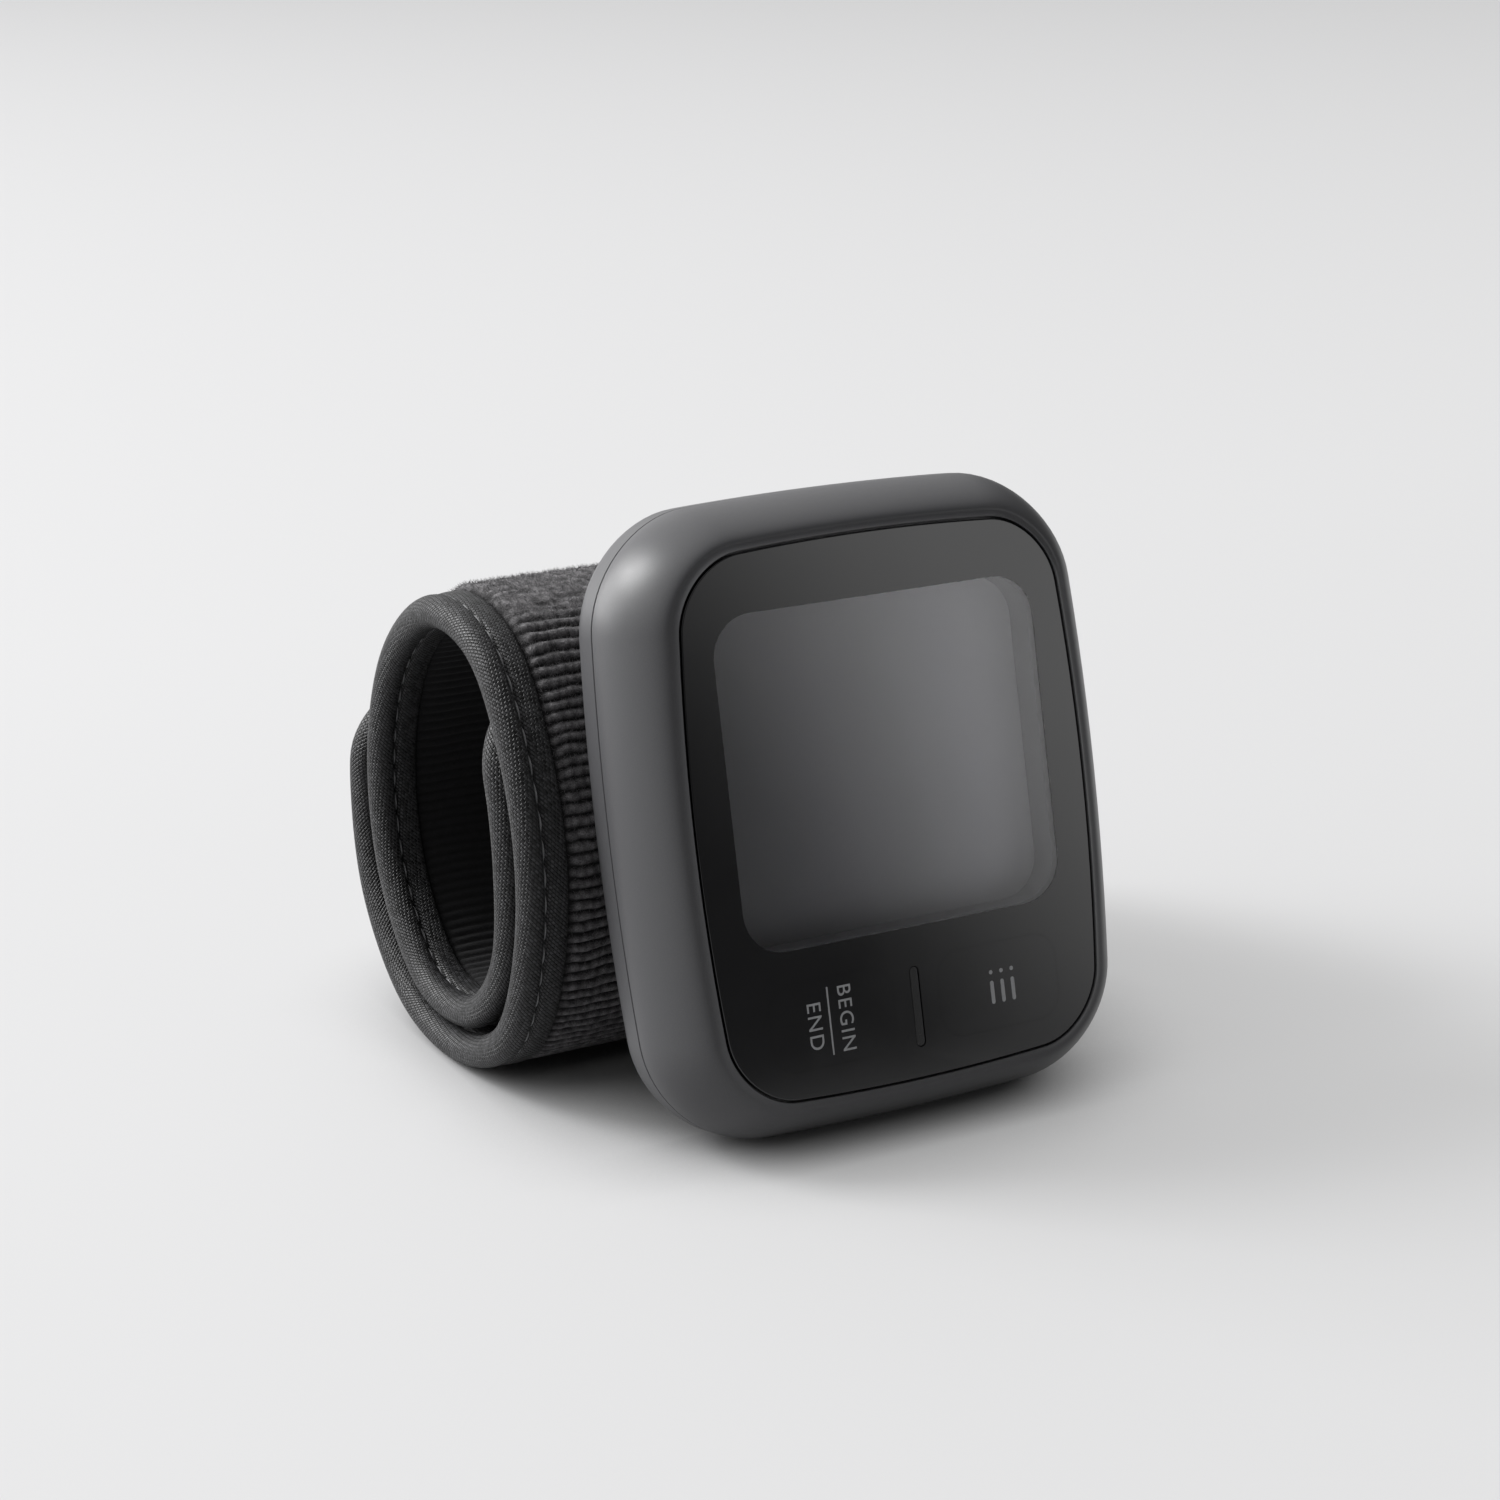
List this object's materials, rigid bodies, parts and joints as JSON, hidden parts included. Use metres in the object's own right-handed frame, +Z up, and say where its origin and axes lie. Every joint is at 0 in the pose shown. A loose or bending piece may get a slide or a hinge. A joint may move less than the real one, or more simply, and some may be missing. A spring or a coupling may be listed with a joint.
{
  "type": "wrist blood pressure monitor",
  "caption": "Wrist blood pressure monitor: slim rounded display head with flush press keys, standing on a coiled fabric cuff with rolled edges and a peel-open free end.",
  "frame": {"origin": "middle of the foot of the bounding box, on the table that the head's lower edge and the coiled cuff stand on", "axes": "+X across the face to the viewer's right, +Y from the face towards the cuff, +Z up; the face leans back by 13.6 degrees"},
  "size_m": [0.0768, 0.076, 0.0721],
  "materials": {
    "shell_paint": "satin dark grey paint over moulded ABS",
    "lens_black": "polished black-backed acrylic",
    "key_black": "polished black acrylic",
    "divider_grey": "moulded rib",
    "silicone_dark": "moulded silicone",
    "board_green": "solder mask",
    "steel_bright": "stamped steel",
    "frame_grey": "fine moulded texture",
    "display_glass": "blank grey display behind glass",
    "diffuser_white": "white diffuser",
    "chip_black": "moulded epoxy",
    "foam_grey": "closed-cell foam",
    "pouch_silver": "laminated foil pouch",
    "screw_dark": "black zinc",
    "pump_white": "moulded",
    "copper_core": "wound core on a steel shaft",
    "hose_clear": "translucent silicone",
    "former_grey": "springy sheet plastic",
    "bladder_film": "welded film",
    "loop_fabric": "ribbed loop pile",
    "lining_fabric": "knitted lining",
    "binding_tape": "twill tape rolled over a cord and stitched",
    "hook_tape": "hook tape"
  },
  "bodies": {
    "head": {"front_shell": "shell_paint", "rear_shell": "shell_paint", "face_lens": "lens_black", "key_divider": "divider_grey", "key_mat": "silicone_dark", "key_board": "board_green", "start_switch": "steel_bright", "memory_switch": "steel_bright", "display_frame": "frame_grey", "lcd_glass": "display_glass", "lcd_backlight": "diffuser_white", "lcd_connector": "silicone_dark", "main_board": "board_green", "controller_chip": "chip_black", "battery_pad": "foam_grey", "battery_cell": "pouch_silver", "charge_socket": "steel_bright", "shell_screw_1": "screw_dark", "shell_screw_2": "screw_dark", "shell_screw_3": "screw_dark", "shell_screw_4": "screw_dark", "board_screw_1": "steel_bright", "board_screw_2": "steel_bright", "pump_motor": "steel_bright", "pump_head": "pump_white", "release_valve": "chip_black", "air_manifold": "pump_white", "pressure_sensor": "chip_black", "pump_hose": "hose_clear", "valve_hose": "hose_clear", "sensor_hose": "hose_clear", "air_nozzle": "former_grey", "nozzle_seal": "silicone_dark", "cuff_former": "former_grey", "air_bladder": "bladder_film", "cuff_cover": "loop_fabric", "cuff_lining": "lining_fabric", "edge_binding": "binding_tape"},
    "start_key": {"start_stop_key": "key_black"},
    "memory_key": {"memory_key": "key_black"},
    "rotor": {"pump_rotor": "copper_core"},
    "plunger": {"valve_plunger": "steel_bright"},
    "tail": {"tail_cover": "loop_fabric", "tail_lining": "lining_fabric", "tail_binding": "binding_tape", "hook_patch": "hook_tape"}
  },
  "joints": [
    {"name": "start_key_press", "type": "slide", "parent": "head", "child": "start_key", "axis": [0, 0.972, -0.2351], "range_m": [0, 0.0004], "stiffness_N_per_m": 1500},
    {"name": "memory_key_press", "type": "slide", "parent": "head", "child": "memory_key", "axis": [0, 0.972, -0.2351], "range_m": [0, 0.0004], "stiffness_N_per_m": 1500},
    {"name": "pump_spin", "type": "hinge", "parent": "head", "child": "rotor", "pos_m": [0.001, -0.02704, 0.01337], "axis": [1, 0, 0], "continuous": true},
    {"name": "valve_slide", "type": "slide", "parent": "head", "child": "plunger", "axis": [1, 0, 0], "range_m": [0, 0.0008], "stiffness_N_per_m": 300},
    {"name": "tail_peel", "type": "hinge", "parent": "head", "child": "tail", "pos_m": [0, 0.03092, 0.00757], "axis": [-1, 0, 0], "range_deg": [0, 50]}
  ]
}
